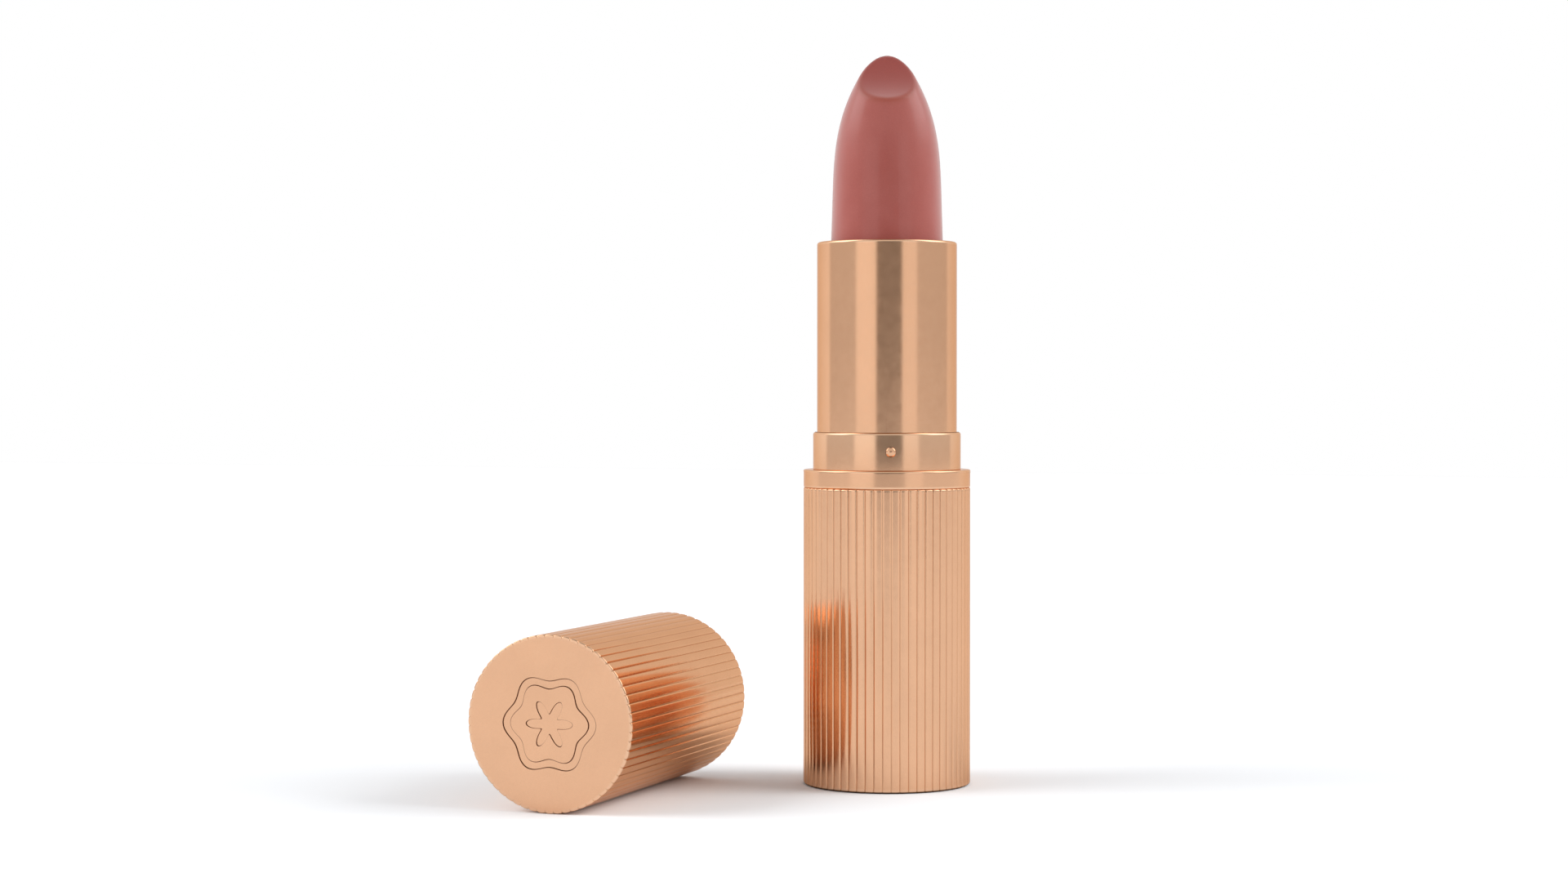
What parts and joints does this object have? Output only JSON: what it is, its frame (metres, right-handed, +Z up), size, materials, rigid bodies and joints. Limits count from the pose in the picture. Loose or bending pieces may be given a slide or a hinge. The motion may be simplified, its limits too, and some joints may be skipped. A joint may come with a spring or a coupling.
{
  "type": "lipstick case",
  "caption": "Twist-up lipstick case with a fluted metal base, smooth collar and sleeve, slant-cut bullet fully raised, and its fluted cap lying beside it.",
  "frame": {"origin": "centre of the foot's flat face, on the axis of the standing case", "axes": "+Z up the case towards the bullet's tip; the lying cap's axis is along Y, with its closed end towards -Y and its mouth towards +Y, on the case's -X side"},
  "size_m": [0.0449, 0.0451, 0.083],
  "materials": {
    "rose_metal": "rose-gold anodised, satin",
    "lipstick_wax": "smooth moulded wax, soft gloss",
    "liner_plastic": "moulded, satin",
    "mechanism_plastic": "natural acetal",
    "weight_steel": "zinc plated",
    "drag_silicone": "matte",
    "label_film": "blank film label"
  },
  "bodies": {
    "base": {"base_shell": "rose_metal", "base_liner": "liner_plastic", "base_weight": "weight_steel", "foot_label": "label_film", "shoulder_ring": "rose_metal", "snap_collar": "rose_metal", "guide_tube": "mechanism_plastic", "drag_washer": "drag_silicone"},
    "sleeve": {"upper_sleeve": "rose_metal", "spiral_sleeve": "mechanism_plastic"},
    "carrier": {"bullet_cup": "mechanism_plastic", "lipstick_bullet": "lipstick_wax"},
    "cap": {"cap_shell": "rose_metal", "cap_liner": "liner_plastic", "cap_weight": "weight_steel"}
  },
  "joints": [
    {"name": "sleeve_twist", "type": "hinge", "parent": "base", "child": "sleeve", "pos_m": [0, 0, 0.04], "axis": [0, 0, 1], "range_deg": [0, 450]},
    {"name": "carrier_lift", "type": "slide", "parent": "base", "child": "carrier", "axis": [0, 0, 1], "range_m": [-0.0225, 0]},
    {"name": "cap_lift", "type": "slide", "parent": "base", "child": "cap", "axis": [0, 0, 1], "range_m": [0, 0.1]}
  ],
  "couplings": [
    {"joint": "carrier_lift", "follows": "sleeve_twist", "m_per_rad": -0.0028647}
  ]
}
